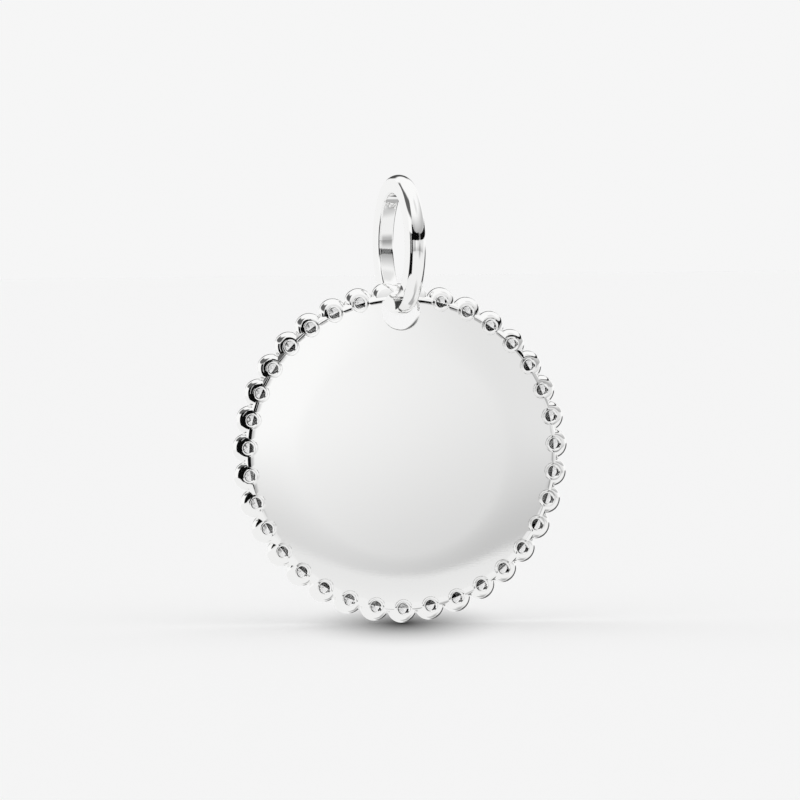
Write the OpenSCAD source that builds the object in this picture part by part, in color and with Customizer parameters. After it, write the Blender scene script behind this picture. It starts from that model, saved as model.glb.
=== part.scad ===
// Disc pendant that hangs from an oval bail.
// The bail's opening has its top at the origin, where the chain bears.
// +Z is up, and the plain polished face of the disc looks toward -Y.

/* [Disc] */
// Radius of the circle that the bead centres lie on
ring_r = 10.95; // [10:0.05:12]
// Thickness of the disc at its middle
disc_t = 1.5; // [1.4:0.05:1.8]
// Width of the ring over which the face falls from its flat middle to the bead circle
fall_run = 3.55; // [3.3:0.05:4.4]
// How far the face has fallen where it meets the beads
face_fall = 0.25; // [0.15:0.01:0.35]
// How far neighbouring beads run into each other, on each side
bead_merge = 0.04; // [0.02:0.01:0.08]
// Thickness of the beads, over the collars round their windows
bead_t = 1.2; // [1.2:0.05:1.3]
// Height of a collar above the round body of its bead
collar_h = 0.1; // [0.06:0.01:0.1]
// Radius of a collar at its top
collar_r = 0.5; // [0.49:0.01:0.53]
// Rounding of the bead edges
bead_round = 0.48; // [0.4:0.02:0.48]
// Width of the web that joins the beads
web_w = 0.86; // [0.84:0.02:0.96]
// How far the web's outer edge lies inside the notch between two beads
web_drop = 0.04; // [0.03:0.01:0.08]
// Thickness of the web
web_t = 1.08; // [1.06:0.02:1.12]
// Rounding of the web's edges
web_round = 0.4; // [0.3:0.02:0.4]

/* [Bail hole] */
// Thickness of the bar between the hole and the rim
bar_h = 0.5; // [0.4:0.05:0.7]
// How far the bar's top lies inside the outline of the beads
bar_drop = 0.09; // [0.05:0.01:0.2]
// Rounding of the hole's edges
hole_round = 0.28; // [0.2:0.02:0.3]
// Room between the bail and the hole's wall, all round
bail_play = 0.465; // [0.44:0.005:0.55]
// Room between the bar and the bottom of the bail's opening
bar_gap = 0.38; // [0.36:0.01:0.42]

/* [Bail] */
// Width of the bail's opening
bail_in_w = 4.7; // [4.6:0.1:5.2]
// Height of the bail's opening
bail_in_h = 7.2; // [6.8:0.1:8]
// Thickness of the bail at its flat sides
bail_t = 1.05; // [0.85:0.05:1.1]
// How far the rounded outside of the bail rises above its edges
bail_crown = 0.28; // [0.2:0.02:0.3]
// Width of the bail's band
bail_w = 1.2; // [1:0.05:1.25]
// Rounding of the edges inside the opening
bail_round = 0.18; // [0.1:0.02:0.24]
// Turn of the bail about the upright axis
bail_turn = 12; // [0:1:13]

/* [Stones] */
// Diameter of each stone
stone_d = 1.1; // [0.95:0.05:1.2]
// Room between a stone and its seat
stone_gap = 0.02; // [0.015:0.005:0.03]
// Depth of a stone's table below the rim of its setting
table_set = 0.04; // [0.02:0.01:0.08]
// Opening behind each stone, as a share of the stone's radius
window_part = 0.66; // [0.6:0.02:0.7]

/* [Hidden] */
// Beads round the whole rim, of which the two beside the hole are plain
bead_n = 35;
stone_n = bead_n - 2;
pitch = 360 / bead_n;
bead_r = ring_r * sin(pitch / 2) + bead_merge;
rim_r = ring_r + bead_r;
// Where the outlines of two neighbouring beads meet
notch_r = ring_r * cos(pitch / 2) + sqrt(bead_r * bead_r - pow(bead_r - bead_merge, 2));
half_t = disc_t / 2;
half_bead = bead_t / 2;
half_body = half_bead - collar_h;
// Arc that brings the face down to the beads
flat_r = ring_r - fall_run;
fall_r = (fall_run * fall_run + face_fall * face_fall) / (2 * face_fall);

// Hole, large enough for the bail's section to turn in
bail_depth = bail_t + bail_crown;
hole_r = norm([bail_w, bail_depth]) / 2 + bail_play;
bar_top_r = rim_r - bar_drop;
hole_place_r = bar_top_r - bar_h - hole_r;
// Bead that fills the notch above the hole
bar_r = bead_r - bar_drop;

// Heights below the top of the bail's opening
hole_z = -bail_in_h + bar_gap - hole_r;
disc_z = hole_z - hole_place_r;

// Oval of four arcs, two round the ends and two along the sides. The line through the centres of
// two arcs that meet has the slope of a 3-4-5 triangle, so the arcs join without a corner.
bail_half_w = bail_in_w / 2;
bail_half_h = bail_in_h / 2;
centre_gap = 2.5 * (bail_half_h - bail_half_w);
side_x = 0.8 * centre_gap;
end_y = 0.6 * centre_gap;
// Corner, well outside the bail, of the wedges that part one arc from the next
wedge_x = 16;
wedge_y = 12;
side_r = bail_half_w + side_x;
end_r = bail_half_h - end_y;
dome_r = (bail_w * bail_w / 4 + bail_crown * bail_crown) / (2 * bail_crown);

// Brilliant, measured from its table down to its point
stone_r = stone_d / 2;
table_r = 0.56 * stone_r;
star_r = 0.80 * stone_r;
lower_r = 0.26 * stone_r;
crown_h = 0.29 * stone_r;
girdle_h = 0.05 * stone_r;
point_h = 0.86 * stone_r;
stone_h = crown_h + girdle_h + point_h;
half_facet = 22.5;
star_z = crown_h * (star_r * cos(half_facet) - table_r) / (stone_r - table_r);
lower_z = stone_h - point_h * lower_r * cos(half_facet) / stone_r;
// Setting: its rim closes over the edge of the stone
lip_r = 0.86 * stone_r;
window_r = window_part * stone_r;
window_soft = 0.06;
// Room along the axis that leaves stone_gap square to a facet
slope_gap = 1.35 * stone_gap;
table_z = -half_bead + table_set;

silver = [0.86, 0.86, 0.87];
clear = [0.93, 0.96, 0.98];
over = 1;
$fn = 96;

function stone_name(i) = str("stone_", i < 10 ? "0" : "", i);
function bead_angle(i) = 90 - (i + 0.5) * pitch;
function turned(r, a, z) = [r * cos(a), r * sin(a), z];

// Rounded block in the plane of a profile, from r1 out to r2
module round_profile(r1, r2, half_h, round_r) {
    translate([r1, -half_h + round_r]) square([r2 - r1, 2 * (half_h - round_r)]);
    translate([r1, -half_h]) square([r2 - r1 - round_r, 2 * half_h]);
    for (side = [-1, 1]) translate([r2 - round_r, side * (half_h - round_r)]) intersection() {
        circle(round_r);
        translate([0, -round_r]) square([round_r, 2 * round_r]);
    }
}

// Half section of the plate: a flat middle, then both faces fall in an arc toward the beads
module plate_profile() {
    translate([0, -half_t]) square([flat_r, disc_t]);
    intersection() {
        translate([flat_r, half_t - fall_r]) circle(fall_r);
        translate([flat_r, -half_t + fall_r]) circle(fall_r);
        translate([flat_r, -half_t]) square([fall_run, disc_t]);
    }
}

// Half section of the low ring that joins the beads
module web_profile() {
    half_h = web_t / 2;
    web_r = notch_r - web_drop - web_w / 2;
    for (side = [0, 1])
        translate([web_r, 0]) mirror([side, 0]) round_profile(0, web_w / 2, half_h, web_round);
}

// Plate and web in one turned piece
module plate() {
    rotate_extrude() union() {
        plate_profile();
        web_profile();
    }
}

// Round body of a bead
module bead(r) {
    rotate_extrude() round_profile(0, r, half_body, bead_round);
}

// Bead with a raised collar on both faces, its sides at 45 degrees
module collared_bead() {
    foot_r = collar_r + collar_h;
    rotate_extrude() union() {
        round_profile(0, bead_r, half_body, bead_round);
        polygon([
            [0, -half_bead],
            [collar_r, -half_bead],
            [foot_r, -half_body],
            [foot_r, half_body],
            [collar_r, half_bead],
            [0, half_bead]
        ]);
    }
}

// Hole for the bail, with rounded edges
module hole_cut() {
    rotate_extrude() difference() {
        translate([0, -half_t - over]) square([hole_r + hole_round, disc_t + 2 * over]);
        translate([hole_r, -half_t + hole_round]) square([hole_round + over, disc_t - 2 * hole_round]);
        translate([hole_r + hole_round, half_t - hole_round]) circle(hole_round);
        translate([hole_r + hole_round, -half_t + hole_round]) circle(hole_round);
    }
}

// Seat of one stone, open to the back through a round window
module seat_cut() {
    crown_slope = crown_h / (stone_r - table_r);
    point_slope = point_h / stone_r;
    seat_r = stone_r + stone_gap;
    back_z = bead_t - table_set;
    rotate_extrude() polygon([
        [0, -table_set - over],
        [lip_r, -table_set - over],
        [lip_r, crown_slope * (lip_r - table_r) - slope_gap],
        [seat_r, crown_slope * (seat_r - table_r) - slope_gap],
        [seat_r, stone_h - point_slope * seat_r + slope_gap],
        [window_r, stone_h - point_slope * window_r + slope_gap],
        [window_r, back_z - window_soft],
        [window_r + window_soft + over, back_z + over],
        [0, back_z + over]
    ]);
}

// Puts its children at one place of the bead circle
module at_bead(i) {
    rotate([0, 0, bead_angle(i)]) translate([ring_r, 0, 0]) children();
}

// Puts its children in the disc's place: upright, with the plain face toward -Y
module in_disc() {
    translate([0, 0, disc_z]) rotate([90, 0, 0]) children();
}

module disc() {
    color(silver) in_disc() difference() {
        union() {
            plate();
            for (i = [0, bead_n - 1]) at_bead(i) bead(bead_r);
            for (i = [1 : stone_n]) at_bead(i) collared_bead();
            translate([0, ring_r, 0]) bead(bar_r);
        }
        translate([0, hole_place_r, 0]) hole_cut();
        for (i = [1 : stone_n]) at_bead(i) translate([0, 0, table_z]) seat_cut();
    }
}

// Section of the bail: flat sides, soft inner edges and a domed outside
module band_profile(inner_r) {
    half_w = bail_w / 2;
    translate([inner_r + bail_round, -half_w]) square([bail_t - bail_round, bail_w]);
    translate([inner_r, -half_w + bail_round]) square([bail_t, bail_w - 2 * bail_round]);
    for (side = [-1, 1])
        translate([inner_r + bail_round, side * (half_w - bail_round)]) circle(bail_round);
    intersection() {
        translate([inner_r + bail_depth - dome_r, 0]) circle(dome_r);
        translate([inner_r + bail_t / 2, -half_w]) square([bail_depth, bail_w]);
    }
}

// Stretch of the band that lies inside a wedge from its arc's centre to the two given corners
module band_arc(inner_r, corner_1, corner_2) {
    intersection() {
        rotate_extrude() band_profile(inner_r);
        translate([0, 0, -bail_w]) linear_extrude(2 * bail_w) polygon([[0, 0], corner_1, corner_2]);
    }
}

module bail() {
    color(silver) rotate([0, 0, bail_turn]) translate([0, 0, -bail_half_h]) rotate([90, 0, 90]) {
        for (turn = [0, 180]) rotate([0, 0, turn]) {
            translate([-side_x, 0, 0]) band_arc(side_r, [wedge_x, -wedge_y], [wedge_x, wedge_y]);
            translate([0, end_y, 0]) band_arc(end_r, [wedge_x, wedge_y], [-wedge_x, wedge_y]);
        }
    }
}

// Round brilliant with its table at z = 0 and its point at z = stone_h
module brilliant() {
    table = [for (i = [0 : 7]) turned(table_r, 45 * i, 0)];
    stars = [for (i = [0 : 7]) turned(star_r, 45 * i + half_facet, star_z)];
    upper = [for (j = [0 : 15]) turned(stone_r, half_facet * j, crown_h)];
    under = [for (j = [0 : 15]) turned(stone_r, half_facet * j, crown_h + girdle_h)];
    lower = [for (i = [0 : 7]) turned(lower_r, 45 * i + half_facet, lower_z)];
    // Where each ring of points starts in the whole list
    s = 8;
    g = 16;
    h = 32;
    l = 48;
    point = 56;
    polyhedron(
        points = concat(table, stars, upper, under, lower, [[0, 0, stone_h]]),
        faces = concat(
            [[for (i = [0 : 7]) i]],
            [for (i = [0 : 7]) [i, s + i, (i + 1) % 8]],
            [for (i = [0 : 7]) [i, s + (i + 7) % 8, g + 2 * i, s + i]],
            [for (i = [0 : 7]) [s + i, g + 2 * i, g + 2 * i + 1]],
            [for (i = [0 : 7]) [s + i, g + 2 * i + 1, g + (2 * i + 2) % 16]],
            [for (j = [0 : 15]) [g + j, h + j, h + (j + 1) % 16, g + (j + 1) % 16]],
            [for (i = [0 : 7]) [l + i, h + 2 * i + 1, h + 2 * i]],
            [for (i = [0 : 7]) [l + i, h + (2 * i + 2) % 16, h + 2 * i + 1]],
            [for (i = [0 : 7]) [point, l + i, h + 2 * i, l + (i + 7) % 8]]
        )
    );
}

module stone(i) {
    color(clear) in_disc() at_bead(i) translate([0, 0, table_z]) brilliant();
}

disc();
bail();
for (i = [1 : stone_n])
    stone(i);
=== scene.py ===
"""A polished silver disc pendant with a beaded rim, hung on an oval bail."""

import math

import bmesh
import bpy
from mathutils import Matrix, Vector


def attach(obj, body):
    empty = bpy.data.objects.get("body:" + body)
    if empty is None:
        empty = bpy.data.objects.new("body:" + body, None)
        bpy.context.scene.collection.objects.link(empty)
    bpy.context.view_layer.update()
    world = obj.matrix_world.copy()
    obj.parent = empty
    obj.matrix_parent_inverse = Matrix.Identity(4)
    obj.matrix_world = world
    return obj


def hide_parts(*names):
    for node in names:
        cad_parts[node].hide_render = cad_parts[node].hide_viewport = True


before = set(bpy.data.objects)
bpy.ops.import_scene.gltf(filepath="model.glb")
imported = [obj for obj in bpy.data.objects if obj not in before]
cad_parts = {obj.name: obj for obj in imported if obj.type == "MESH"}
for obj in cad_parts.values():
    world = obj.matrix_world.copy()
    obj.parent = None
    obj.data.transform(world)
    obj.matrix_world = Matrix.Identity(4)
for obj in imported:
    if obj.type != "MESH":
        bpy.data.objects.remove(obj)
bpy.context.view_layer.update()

MM = 0.001

# Disc, in millimetres
RING_R = 10.95
DISC_T = 1.5
FALL_RUN = 3.55
FACE_FALL = 0.25
FALL_EVEN = 0.4
DOME = 0.06
BEAD_COUNT = 35
BEAD_MERGE = 0.04
BEAD_T = 1.2
BEAD_ROUND = 0.3
BEAD_EDGE = 0.42
SLOPE = 15
SLOPE_Z = 0.41
COLLAR_R = 0.5
COLLAR_EDGE = 0.03
WEB_OUT = 0.23
WEB_W = 0.4
WEB_TILT = 4
ROOM_R = 0.62
ROOM_Z = 0.4
EASE_RUN = 0.12
EASE_LOW = 0.5
EASE_TOP = 0.62
FRONT_DROP = 0.04
BAR_H = 0.5
BAR_DROP = 0.09
HOLE_ROUND = 0.28

# Bail, in millimetres
BAIL_IN_W = 4.7
BAIL_IN_H = 7.2
BAIL_T = 1.05
BAIL_CROWN = 0.28
BAIL_W = 1.2
BAIL_ROUND = 0.18
BAIL_EDGE = 0.05
BAIL_TURN = 12
BAIL_PLAY = 0.465
BAR_GAP = 0.38

# Stones and their seats, in millimetres
STONE_R = 0.55
TABLE_R = 0.308
CROWN_H = 0.1595
STONE_H = 0.66
POINT_SLOPE = 0.86
STONE_GAP = 0.02
SLOPE_GAP = 0.027
TABLE_SET = 0.04
LIP_R = 0.473
WINDOW_R = 0.363
WINDOW_SOFT = 0.06

# Steps of a full turn, how far a cutter reaches past what it cuts, in millimetres, and the angle
# from which an edge stays sharp, in degrees
PLATE_STEPS = 210
HOLE_STEPS = 96
BEAD_STEPS = 56
CUT_OVER = 1
DISC_CREASE = 16
BAIL_CREASE = 20

HALF_T = DISC_T / 2
HALF_BEAD = BEAD_T / 2
PITCH = 360 / BEAD_COUNT
BEAD_R = RING_R * math.sin(math.radians(PITCH / 2)) + BEAD_MERGE
RIM_R = RING_R + BEAD_R
BAR_R = BEAD_R - BAR_DROP
FLAT_R = RING_R - FALL_RUN
FALL_TILT = 8
BAIL_DEPTH = BAIL_T + BAIL_CROWN
HOLE_R = math.hypot(BAIL_W, BAIL_DEPTH) / 2 + BAIL_PLAY
HOLE_PLACE_R = RIM_R - BAR_DROP - BAR_H - HOLE_R
DISC_Z = -BAIL_IN_H + BAR_GAP - HOLE_R - HOLE_PLACE_R
FLOOR_Z = DISC_Z - RIM_R

# Finishes
SILVER_TONE = (0.95, 0.95, 0.945, 1)
GLOSS_LOW = 0.03
GLOSS_HIGH = 0.05
STONE_IOR = 2.15

# Studio: brightness behind the pendant, then the greys of the tent. Each has the turns from the
# front where it fades in, is whole, is whole no more and has faded out, the same four for the
# rise, all in degrees, and how dark it is.
BACKDROP = 0.92
GREYS = [
    ((6, 16, 70, 100), (-8, -7.5, 14, 22), 0.19),
    ((27, 31, 44, 52), (-19, -10, -4, 6), 0.42),
    ((27, 31, 50, 60), (34, 44, 52, 60), 0.2),
    ((30, 36, 70, 90), (-62, -56, -52, -40), 0.3),
    ((-60, -40, 60, 100), (-8, -7.5, -7, 0), 0.28),
    ((-40, -25, -8, 2), (-8, -7.5, 10, 30), 0.4),
    ((-181, -180, 180, 181), (-91, -90, -8, -7.5), 0.09),
    ((-60, -40, 60, 100), (-14, -8.2, -8, -7.5), 0.08),
    ((106, 112, 160, 166), (-54, -50, -4, 0), 0.9),
    ((-40, -34, 110, 120), (10, 12, 16, 42), 0.45),
    ((-181, -180, -132, -126), (-6, -4, 4, 6), 0.06),
    ((-135, -120, -34, -28), (26, 32, 50, 58), 0.88),
    ((45, 60, 118, 135), (-91, -90, -62, -50), 0.5),
    ((-181, -180, -165, -150), (4, 14, 34, 44), 0.93),
    ((150, 160, 180, 181), (4, 14, 34, 44), 0.93),
]

# Floor: its size in metres, its gap under the disc in millimetres and its tone. Then the soft
# shadow that the photograph has on it, painted into the floor's colour: half width and half depth
# in metres, how dark the painted shade is at the contact, and how fast it fades.
FLOOR_SIZE = 4
FLOOR_GAP = 0.01
FLOOR_TONE = 0.926
SHADE_WIDTH = 0.0078
SHADE_DEPTH = 0.032
SHADE_DARK = 0.97
SHADE_FADE = 1.8

# Flags near the pendant, in millimetres: each is bent round an upright line and has that
# line's place across, its turns in degrees from the front, its lowest and highest edge,
# and how light the cloth is
FLAG_R = 30
FLAG_STEPS = 24
BLACK = 0.004
GREY = 0.2
FLAGS = [
    ("flag_left", -11, (-70, -37), (-26, 4), BLACK),
    ("flag_left_low", -11, (-37, -31), (-26, -9), BLACK),
    ("flag_left_front", -11, (-31, -12), (-26, 4), BLACK),
    ("flag_front_1", 0, (-34, -24), (-0.8, 9), BLACK),
    ("flag_front_2", 0, (-24, -19), (-0.8, 7.6), BLACK),
    ("flag_front_3", 0, (-19, -14), (-0.8, 6.4), BLACK),
    ("flag_front_4", 0, (-14, -6), (-0.8, 5.4), BLACK),
    ("flag_front_5", 0, (-6, 6), (-0.8, 4.8), BLACK),
    ("flag_front_6", 0, (6, 29), (-0.8, 4.3), BLACK),
    ("flag_right", 0, (29, 45), (-0.6, 3.6), GREY),
    ("flag_side", 0, (45, 125), (-1, 3), BLACK),
]

# Camera, as the photograph was taken
VIEW_TURN = -10.8
VIEW_RISE = 1.9
VIEW_ROLL = 0.5
VIEW_DISTANCE = 590
FRAME_W = 56.22
AIM_RIGHT = -0.03
AIM_UP = 3.70
SENSOR = 36


# Selection and edit mode


def deselect_all():
    if bpy.context.object and bpy.context.object.mode != "OBJECT":
        bpy.ops.object.mode_set(mode="OBJECT")
    bpy.ops.object.select_all(action="DESELECT")


def pick(piece):
    deselect_all()
    piece.select_set(True)
    bpy.context.view_layer.objects.active = piece


def apply_modifier(piece, kind, **values):
    pick(piece)
    modifier = piece.modifiers.new(kind.title(), kind)
    for name, value in values.items():
        setattr(modifier, name, value)
    bpy.ops.object.modifier_apply(modifier=modifier.name)


def apply_place(piece):
    pick(piece)
    bpy.ops.object.transform_apply(location=True, rotation=True, scale=True)


def arc(centre, radius, start, end, parts):
    """Points of an arc in a section, from one angle to another in degrees."""
    turns = [start + (end - start) * k / parts for k in range(parts + 1)]
    return [
        (
            centre[0] + radius * math.cos(math.radians(a)),
            centre[1] + radius * math.sin(math.radians(a)),
        )
        for a in turns
    ]


def draw_section(name, points, closed=False):
    """Draws a plane together to the first point, then extrudes it along the section."""
    deselect_all()
    r0, z0 = points[0]
    bpy.ops.mesh.primitive_plane_add(size=MM, location=(r0 * MM, 0, z0 * MM))
    piece = bpy.context.object
    piece.name = name
    apply_place(piece)
    bpy.ops.object.mode_set(mode="EDIT")
    bpy.ops.mesh.select_mode(type="VERT")
    bpy.ops.mesh.select_all(action="SELECT")
    bpy.ops.mesh.merge(type="CENTER")
    for (r1, z1), (r2, z2) in zip(points, points[1:]):
        step = ((r2 - r1) * MM, 0, (z2 - z1) * MM)
        bpy.ops.mesh.extrude_vertices_move(TRANSFORM_OT_translate={"value": step})
    if closed:
        mesh = bmesh.from_edit_mesh(piece.data)
        mesh.verts.ensure_lookup_table()
        bpy.ops.mesh.select_all(action="DESELECT")
        mesh.verts[0].select = True
        mesh.verts[len(points) - 1].select = True
        mesh.select_flush(True)
        bmesh.update_edit_mesh(piece.data)
        bpy.ops.mesh.edge_face_add()
    bpy.ops.mesh.select_all(action="SELECT")
    return piece


def close_shell():
    """Merges the ends of a turned shell and turns its faces outward."""
    bpy.ops.mesh.select_all(action="SELECT")
    bpy.ops.mesh.remove_doubles(threshold=0.001 * MM)
    bpy.ops.mesh.normals_make_consistent(inside=False)
    mesh = bmesh.from_edit_mesh(bpy.context.object.data)
    if mesh.calc_volume(signed=True) < 0:
        bpy.ops.mesh.flip_normals()
    bpy.ops.object.mode_set(mode="OBJECT")


def turn_section(name, points, steps):
    """A turned piece: the section spun once round the local Z axis."""
    piece = draw_section(name, points)
    bpy.ops.mesh.spin(
        steps=steps, angle=2 * math.pi, center=(0, 0, 0), axis=(0, 0, 1)
    )
    close_shell()
    return piece


def copy_of(piece, name):
    pick(piece)
    bpy.ops.object.duplicate(linked=False)
    copy = bpy.context.object
    copy.name = name
    return copy


def cut_away(piece, cutter):
    apply_modifier(
        piece, "BOOLEAN", operation="DIFFERENCE", object=cutter, solver="EXACT"
    )
    bpy.data.objects.remove(cutter)


def join_pieces(first, others):
    pick(first)
    for piece in others:
        piece.select_set(True)
    bpy.ops.object.join()
    return first


def smooth_faces(piece, crease):
    pick(piece)
    bpy.ops.object.shade_smooth_by_angle(angle=math.radians(crease))
    apply_modifier(
        piece, "WEIGHTED_NORMAL", mode="FACE_AREA", weight=50, keep_sharp=True
    )


# Disc, drawn flat with its plain face up


def face_height(r):
    dome = DOME * (min(r, FLAT_R) / FLAT_R) ** 2
    if r <= FLAT_R:
        return HALF_T - dome
    ease = (r - FLAT_R) / FALL_RUN
    return HALF_T - dome - (FACE_FALL - DOME) * (FALL_EVEN * ease + (1 - FALL_EVEN) * ease**2)


def mirrored(points):
    """The section's upper half, then the same points below in the other order."""
    return points + [(r, -z) for r, z in reversed(points)]


def plate_section():
    """Slightly domed face that falls toward the beads, then the rounded web between them."""
    reach = RING_R + WEB_OUT - WEB_W
    fall = [reach * k / 40 for k in range(41)]
    face = [(r, face_height(r)) for r in fall]
    start = 90 - FALL_TILT - WEB_TILT
    rise = math.sin(math.radians(start))
    run = math.cos(math.radians(start))
    radius = WEB_W / (1 - run)
    round_at = (RING_R + WEB_OUT - radius, face_height(reach) - radius * rise)
    return mirrored(face + arc(round_at, radius, start, 0, 14)[1:])


def level_cut(piece, at, tilt):
    """Cuts off a bead's front above a plane that leans outward by an angle."""
    lean = math.radians(tilt)
    half = 2
    deselect_all()
    bpy.ops.mesh.primitive_cube_add(size=2 * half * MM)
    block = bpy.context.object
    across = at[0] + half * math.sin(lean)
    above = at[1] + half * math.cos(lean)
    block.location = (across * MM, 0, above * MM)
    block.rotation_euler = (0, lean, 0)
    apply_place(block)
    cut_away(piece, block)


def ease_edge(piece, radius, width, steps):
    """Rounds the edge between a bead's side and the faces cut on its front."""
    level_from = 0.8
    outer_from = 0.8 * radius * MM
    pick(piece)
    bpy.ops.object.mode_set(mode="EDIT")
    bpy.ops.mesh.select_mode(type="EDGE")
    bpy.ops.mesh.select_all(action="DESELECT")
    mesh = bmesh.from_edit_mesh(piece.data)
    for edge in mesh.edges:
        level = [f.normal.z > level_from for f in edge.link_faces]
        inner = min(v.co.xy.length for v in edge.verts)
        edge.select = level[0] != level[1] and inner > outer_from
    bmesh.update_edit_mesh(piece.data)
    bpy.ops.mesh.bevel(offset=width * MM, segments=steps, clamp_overlap=False)
    bpy.ops.object.mode_set(mode="OBJECT")


def crown_z(r):
    """Height of a seat's wall round its stone's crown."""
    slope = CROWN_H / (STONE_R - TABLE_R)
    return TABLE_SET - HALF_BEAD + slope * (r - TABLE_R) - SLOPE_GAP


def point_z(r):
    """Height of a seat's wall round its stone's point."""
    return TABLE_SET - HALF_BEAD + STONE_H - POINT_SLOPE * r + SLOPE_GAP


def bead_body(name, radius, seated=False):
    """Round button: rounded at the back, its front level with the plate, then sloping out."""
    back = arc((radius - BEAD_ROUND, -HALF_BEAD + BEAD_ROUND), BEAD_ROUND, -90, 0, 12)
    seat_r = STONE_R + STONE_GAP
    wall_r = COLLAR_R - COLLAR_EDGE
    inside = [(0, HALF_T)]
    middle = (0, -HALF_BEAD)
    if seated:
        middle = (LIP_R, -HALF_BEAD)
        inside = [
            (wall_r, HALF_T),
            (wall_r, point_z(wall_r)),
            (seat_r, point_z(seat_r)),
            (seat_r, crown_z(seat_r)),
            (LIP_R, crown_z(LIP_R)),
            middle,
        ]
    body = turn_section(name, [middle] + back + [(radius, HALF_T)] + inside, BEAD_STEPS)
    level_cut(body, (0, SLOPE_Z), SLOPE)
    level_cut(body, (-ROOM_R, face_height(RING_R - ROOM_R) - FRONT_DROP), FALL_TILT)
    ease_edge(body, radius, BEAD_EDGE, 6)
    return body


def set_bead(name):
    """A bead with a stone's seat in it and a collar round the seat's window."""
    wall_r = COLLAR_R - COLLAR_EDGE
    collar = [
        (COLLAR_R, 0),
        (COLLAR_R, HALF_BEAD - COLLAR_EDGE / 3),
        (wall_r, HALF_BEAD),
        (WINDOW_R + WINDOW_SOFT, HALF_BEAD),
        (WINDOW_R, HALF_BEAD - WINDOW_SOFT),
        (WINDOW_R, point_z(WINDOW_R)),
        (wall_r, point_z(wall_r)),
        (COLLAR_R, 0),
    ]
    bead = bead_body(name, BEAD_R, seated=True)
    return join_pieces(bead, [turn_section("collar", collar, BEAD_STEPS)])


def hole_cutter():
    edge_r = HOLE_R + HOLE_ROUND
    over = HALF_T + CUT_OVER
    rounding = arc((edge_r, HALF_T - HOLE_ROUND), HOLE_ROUND, 90, 180, 9)
    upper = [(0, over), (edge_r, over)] + rounding
    cutter = turn_section("hole_cutter", mirrored(upper), HOLE_STEPS)
    cutter.location = (0, HOLE_PLACE_R * MM, 0)
    apply_place(cutter)
    return cutter


def bead_place(piece, i):
    angle = math.radians(90 - (i + 0.5) * PITCH)
    piece.location = (
        RING_R * MM * math.cos(angle),
        RING_R * MM * math.sin(angle),
        0,
    )
    piece.rotation_euler = (0, 0, angle)


def bead_room():
    """Takes the plate off a bead's slope and eases the plate's edge round it."""
    eased = [(ROOM_R + EASE_RUN, EASE_TOP), (ROOM_R, EASE_LOW), (ROOM_R, ROOM_Z)]
    high = [(0, CUT_OVER), (ROOM_R + EASE_RUN, CUT_OVER)]
    low = [(ROOM_R, -HALF_T - CUT_OVER), (0, -HALF_T - CUT_OVER)]
    return turn_section("bead_room", high + eased + low, BEAD_STEPS)


def make_disc():
    plate = turn_section("silver_disc", plate_section(), PLATE_STEPS)
    room = bead_room()
    rooms = []
    for i in range(1, BEAD_COUNT - 1):
        rooms.append(copy_of(room, "bead_room"))
        bead_place(rooms[-1], i)
        apply_place(rooms[-1])
    bpy.data.objects.remove(room)
    cut_away(plate, join_pieces(rooms[0], rooms[1:]))
    cut_away(plate, hole_cutter())

    solid = bead_body("solid_bead", BEAD_R)
    beads = []
    for i in (0, BEAD_COUNT - 1):
        bead = copy_of(solid, "bead_beside_hole")
        bead_place(bead, i)
        apply_place(bead)
        cut_away(bead, hole_cutter())
        beads.append(bead)
    bpy.data.objects.remove(solid)

    bar = bead_body("bar", BAR_R)
    bar.rotation_euler = (0, 0, math.pi / 2)
    bar.location = (0, RING_R * MM, 0)
    apply_place(bar)
    cut_away(bar, hole_cutter())
    beads.append(bar)

    holed = set_bead("set_bead")
    for i in range(1, BEAD_COUNT - 1):
        bead = copy_of(holed, "bead")
        bead_place(bead, i)
        apply_place(bead)
        beads.append(bead)
    bpy.data.objects.remove(holed)

    disc = join_pieces(plate, beads)
    disc.rotation_euler = (math.pi / 2, 0, 0)
    disc.location = (0, 0, DISC_Z * MM)
    apply_place(disc)
    smooth_faces(disc, DISC_CREASE)
    return disc


# Bail: a D section led round an oval of four arcs


def bail_section():
    half_w = BAIL_W / 2
    dome_r = (half_w**2 + BAIL_CROWN**2) / (2 * BAIL_CROWN)
    dome_at = BAIL_DEPTH - dome_r
    edge_x = half_w - BAIL_EDGE
    edge_run = math.sqrt((dome_r - BAIL_EDGE) ** 2 - edge_x**2)
    edge_turn = math.degrees(math.atan2(edge_x, edge_run))
    dome = arc((dome_at, 0), dome_r, -edge_turn, edge_turn, 20)
    edge = arc((dome_at + edge_run, edge_x), BAIL_EDGE, edge_turn, 90, 4)[1:]
    soft = arc((BAIL_ROUND, half_w - BAIL_ROUND), BAIL_ROUND, 90, 180, 6)
    near_side = edge + soft
    far_side = [(r, -x) for r, x in reversed(near_side)]
    return dome + near_side + far_side


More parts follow.
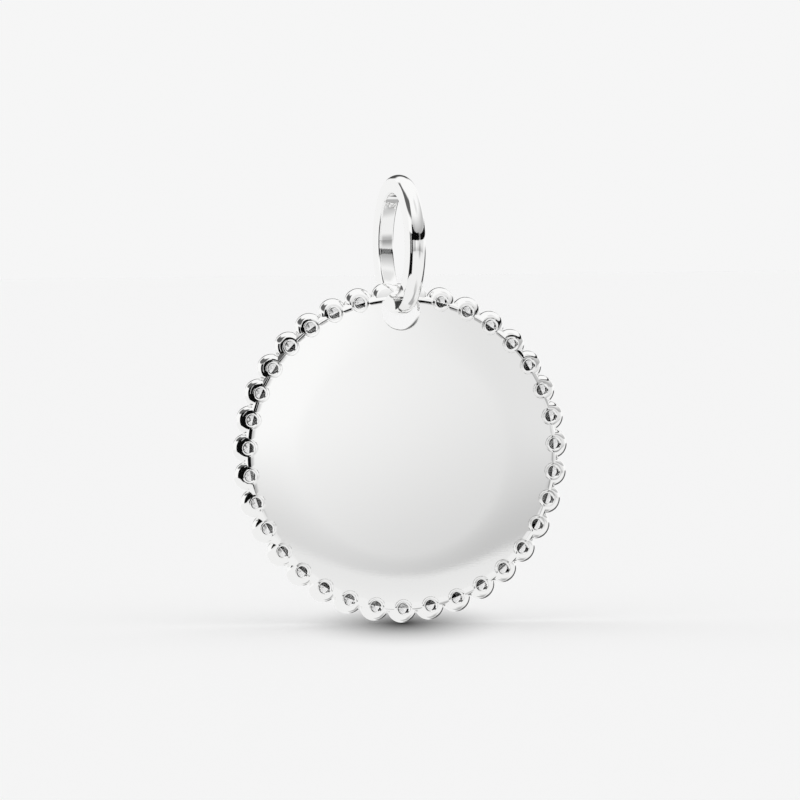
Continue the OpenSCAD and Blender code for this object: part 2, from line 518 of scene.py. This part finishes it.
def make_bail():
    half_w = BAIL_IN_W / 2
    half_h = BAIL_IN_H / 2
    # The arcs' centres are the corners of 3-4-5 triangles, so the four arcs meet smoothly
    centre_gap = 2.5 * (half_h - half_w)
    side_x = 0.8 * centre_gap
    end_y = 0.6 * centre_gap
    join_turn = math.degrees(math.atan2(end_y, side_x))
    bail = draw_section("silver_bail", [(half_w + r, x) for r, x in bail_section()], True)
    bpy.ops.transform.rotate(
        value=-math.pi / 2, orient_axis="Z", center_override=(0, 0, 0)
    )
    bpy.ops.transform.rotate(
        value=-math.pi / 2, orient_axis="Y", center_override=(0, 0, 0)
    )
    stretches = [
        ((0, -side_x, 0), join_turn, 16),
        ((0, 0, end_y), 180 - 2 * join_turn, 44),
        ((0, side_x, 0), 2 * join_turn, 32),
        ((0, 0, -end_y), 180 - 2 * join_turn, 44),
        ((0, -side_x, 0), join_turn, 16),
    ]
    for centre, turn, steps in stretches:
        bpy.ops.mesh.spin(
            steps=steps,
            angle=math.radians(turn),
            center=[c * MM for c in centre],
            axis=(-1, 0, 0),
        )
    close_shell()
    bail.location = (0, 0, -half_h * MM)
    apply_place(bail)
    bail.rotation_euler = (0, 0, math.radians(BAIL_TURN))
    apply_place(bail)
    smooth_faces(bail, BAIL_CREASE)
    return bail


# Finishes


def new_material(name):
    material = bpy.data.materials.new(name)
    material.use_nodes = True
    return material, material.node_tree, material.node_tree.nodes["Principled BSDF"]


def add_node(tree, kind, **values):
    node = tree.nodes.new(kind)
    for name, value in values.items():
        if name in node.inputs:
            node.inputs[name].default_value = value
        else:
            setattr(node, name, value)
    return node


def combine(tree, operation, first, second=None):
    node = add_node(tree, "ShaderNodeMath", operation=operation)
    for socket, value in zip(node.inputs, (first, second)):
        if isinstance(value, bpy.types.NodeSocket):
            tree.links.new(value, socket)
        elif value is not None:
            socket.default_value = value
    return node.outputs["Value"]


def silver_finish():
    """Mirror-polished silver with faint buffing waves and hairlines."""
    material, tree, shader = new_material("polished_silver")
    shader.inputs["Base Color"].default_value = SILVER_TONE
    shader.inputs["Metallic"].default_value = 1
    place = add_node(tree, "ShaderNodeTexCoord")
    waves = add_node(tree, "ShaderNodeTexNoise", Scale=260, Detail=2)
    tree.links.new(place.outputs["Object"], waves.inputs["Vector"])
    gloss = add_node(tree, "ShaderNodeMapRange")
    gloss.inputs["To Min"].default_value = GLOSS_LOW
    gloss.inputs["To Max"].default_value = GLOSS_HIGH
    tree.links.new(waves.outputs["Fac"], gloss.inputs["Value"])
    tree.links.new(gloss.outputs["Result"], shader.inputs["Roughness"])
    stretch = add_node(tree, "ShaderNodeMapping")
    stretch.inputs["Scale"].default_value = (1, 1, 14)
    tree.links.new(place.outputs["Object"], stretch.inputs["Vector"])
    hairs = add_node(tree, "ShaderNodeTexNoise", Scale=2400, Detail=3)
    tree.links.new(stretch.outputs["Vector"], hairs.inputs["Vector"])
    relief = add_node(tree, "ShaderNodeBump", Strength=0.02, Distance=0.00002)
    tree.links.new(hairs.outputs["Fac"], relief.inputs["Height"])
    tree.links.new(relief.outputs["Normal"], shader.inputs["Normal"])
    return material


def stone_finish():
    """Clear cubic zirconia."""
    material, tree, shader = new_material("zirconia")
    shader.inputs["Base Color"].default_value = (1, 1, 1, 1)
    shader.inputs["Roughness"].default_value = 0
    shader.inputs["IOR"].default_value = STONE_IOR
    shader.inputs["Transmission Weight"].default_value = 1
    return material


def floor_with_painted_shadow():
    """Pale card with a soft shadow painted into its colour round the foot of the pendant."""
    material, tree, shader = new_material("pale_floor_painted_shadow")
    shader.inputs["Roughness"].default_value = 1
    shader.inputs["Specular IOR Level"].default_value = 0
    # Painted shadow: the floor's colour darkens toward the pendant's foot, in a soft oval
    # stretched along the camera's line of sight.
    place = add_node(tree, "ShaderNodeTexCoord")
    shape = add_node(tree, "ShaderNodeMapping", vector_type="TEXTURE")
    shape.inputs["Rotation"].default_value = (0, 0, math.radians(VIEW_TURN))
    shape.inputs["Scale"].default_value = (SHADE_WIDTH, SHADE_DEPTH, 1)
    tree.links.new(place.outputs["Object"], shape.inputs["Vector"])
    nearness = add_node(tree, "ShaderNodeTexGradient", gradient_type="SPHERICAL")
    tree.links.new(shape.outputs["Vector"], nearness.inputs["Vector"])
    shade = combine(tree, "POWER", nearness.outputs["Fac"], SHADE_FADE)
    shade = combine(tree, "MULTIPLY", shade, SHADE_DARK)
    tone = combine(tree, "MULTIPLY", combine(tree, "SUBTRACT", 1.0, shade), FLOOR_TONE)
    tree.links.new(tone, shader.inputs["Base Color"])
    return material


def give(piece, material):
    piece.data.materials.clear()
    piece.data.materials.append(material)


# Pendant

silver = silver_finish()
disc = make_disc()
give(disc, silver)
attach(disc, "disc")
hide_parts("disc")

bail = make_bail()
give(bail, silver)
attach(bail, "bail")
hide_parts("bail")

zirconia = stone_finish()
for name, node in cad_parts.items():
    if name.startswith("stone_"):
        for slot in node.material_slots:
            slot.material = zirconia

# Floor and light

deselect_all()
floor_place = (0, 0, (FLOOR_Z - FLOOR_GAP) * MM)
bpy.ops.mesh.primitive_plane_add(size=FLOOR_SIZE, location=floor_place)
floor = bpy.context.object
floor.name = "floor"
give(floor, floor_with_painted_shadow())
floor.visible_glossy = False
floor.visible_transmission = False


def between(tree, value, fades):
    """Mask that fades in and out at four angles in degrees."""
    masks = []
    for start, end in (fades[:2], (fades[3], fades[2])):
        edge = add_node(tree, "ShaderNodeMapRange", interpolation_type="SMOOTHSTEP")
        edge.inputs["From Min"].default_value = math.radians(start)
        edge.inputs["From Max"].default_value = math.radians(end)
        tree.links.new(value, edge.inputs["Value"])
        masks.append(edge.outputs["Result"])
    return combine(tree, "MULTIPLY", *masks)


def make_studio():
    """White tent with soft grey parts, seen only in reflections."""
    world = bpy.data.worlds.new("studio")
    bpy.context.scene.world = world
    world.use_nodes = True
    tree = world.node_tree
    place = add_node(tree, "ShaderNodeTexCoord")
    axes = add_node(tree, "ShaderNodeSeparateXYZ")
    tree.links.new(place.outputs["Generated"], axes.inputs["Vector"])
    front = combine(tree, "MULTIPLY", axes.outputs["Y"], -1.0)
    turn = combine(tree, "ARCTAN2", axes.outputs["X"], front)
    rise = combine(tree, "ARCSINE", axes.outputs["Z"])
    light = 1.0
    for turns, rises, depth in GREYS:
        across = between(tree, turn, turns)
        mask = combine(tree, "MULTIPLY", across, between(tree, rise, rises))
        kept = combine(tree, "SUBTRACT", 1.0, combine(tree, "MULTIPLY", mask, depth))
        light = combine(tree, "MULTIPLY", light, kept)
    path = add_node(tree, "ShaderNodeLightPath")
    for seen, level in (("Is Diffuse Ray", 1.0), ("Is Camera Ray", BACKDROP)):
        switch = add_node(tree, "ShaderNodeMix")
        tree.links.new(path.outputs[seen], switch.inputs["Factor"])
        tree.links.new(light, switch.inputs["A"])
        switch.inputs["B"].default_value = level
        light = switch.outputs["Result"]
    tree.links.new(light, tree.nodes["Background"].inputs["Color"])


def make_flag(name, across, turns, heights, tone):
    """Upright curved card that only reflections see."""
    deselect_all()
    bpy.ops.mesh.primitive_plane_add(size=MM)
    flag = bpy.context.object
    flag.name = name
    bpy.ops.object.mode_set(mode="EDIT")
    bpy.ops.mesh.select_all(action="SELECT")
    bpy.ops.mesh.merge(type="CENTER")
    start = math.radians(turns[0])
    edge_x = across + FLAG_R * math.sin(start)
    edge_y = -FLAG_R * math.cos(start)
    bpy.ops.transform.translate(value=(edge_x * MM, edge_y * MM, heights[0] * MM))
    rise = (0, 0, (heights[1] - heights[0]) * MM)
    bpy.ops.mesh.extrude_vertices_move(TRANSFORM_OT_translate={"value": rise})
    bpy.ops.mesh.select_all(action="SELECT")
    bpy.ops.mesh.spin(
        steps=FLAG_STEPS,
        angle=math.radians(turns[1] - turns[0]),
        center=(across * MM, 0, 0),
        axis=(0, 0, -1),
    )
    bpy.ops.object.mode_set(mode="OBJECT")
    cloth, tree, shader = new_material(name + "_cloth")
    shader.inputs["Base Color"].default_value = (tone, tone, tone, 1)
    shader.inputs["Roughness"].default_value = 1
    shader.inputs["Specular IOR Level"].default_value = 0
    give(flag, cloth)
    for ray in ("camera", "diffuse", "shadow"):
        setattr(flag, "visible_" + ray, False)


for values in FLAGS:
    make_flag(*values)

make_studio()

# Camera


def aim_camera():
    turn = math.radians(VIEW_TURN)
    rise = math.radians(VIEW_RISE)
    toward = Vector(
        (
            math.sin(turn) * math.cos(rise),
            -math.cos(turn) * math.cos(rise),
            math.sin(rise),
        )
    )
    right = Vector((math.cos(turn), math.sin(turn), 0))
    up = toward.cross(right)
    disc_centre = Vector((0, 0, DISC_Z * MM))
    aim = disc_centre + (right * AIM_RIGHT + up * AIM_UP) * MM
    data = bpy.data.cameras.new("camera")
    camera = bpy.data.objects.new("camera", data)
    bpy.context.scene.collection.objects.link(camera)
    camera.location = disc_centre + toward * VIEW_DISTANCE * MM
    sight = (aim - camera.location).normalized()
    camera.rotation_mode = "QUATERNION"
    level = sight.to_track_quat("-Z", "Y")
    camera.rotation_quaternion = level
    camera.rotation_mode = "XYZ"
    camera.rotation_euler.rotate_axis("Z", -math.radians(VIEW_ROLL))
    data.sensor_width = SENSOR
    data.lens = SENSOR * VIEW_DISTANCE / FRAME_W
    data.clip_start = 0.01
    data.clip_end = 100
    bpy.context.scene.camera = camera


aim_camera()
bpy.context.scene.view_settings.view_transform = "Standard"
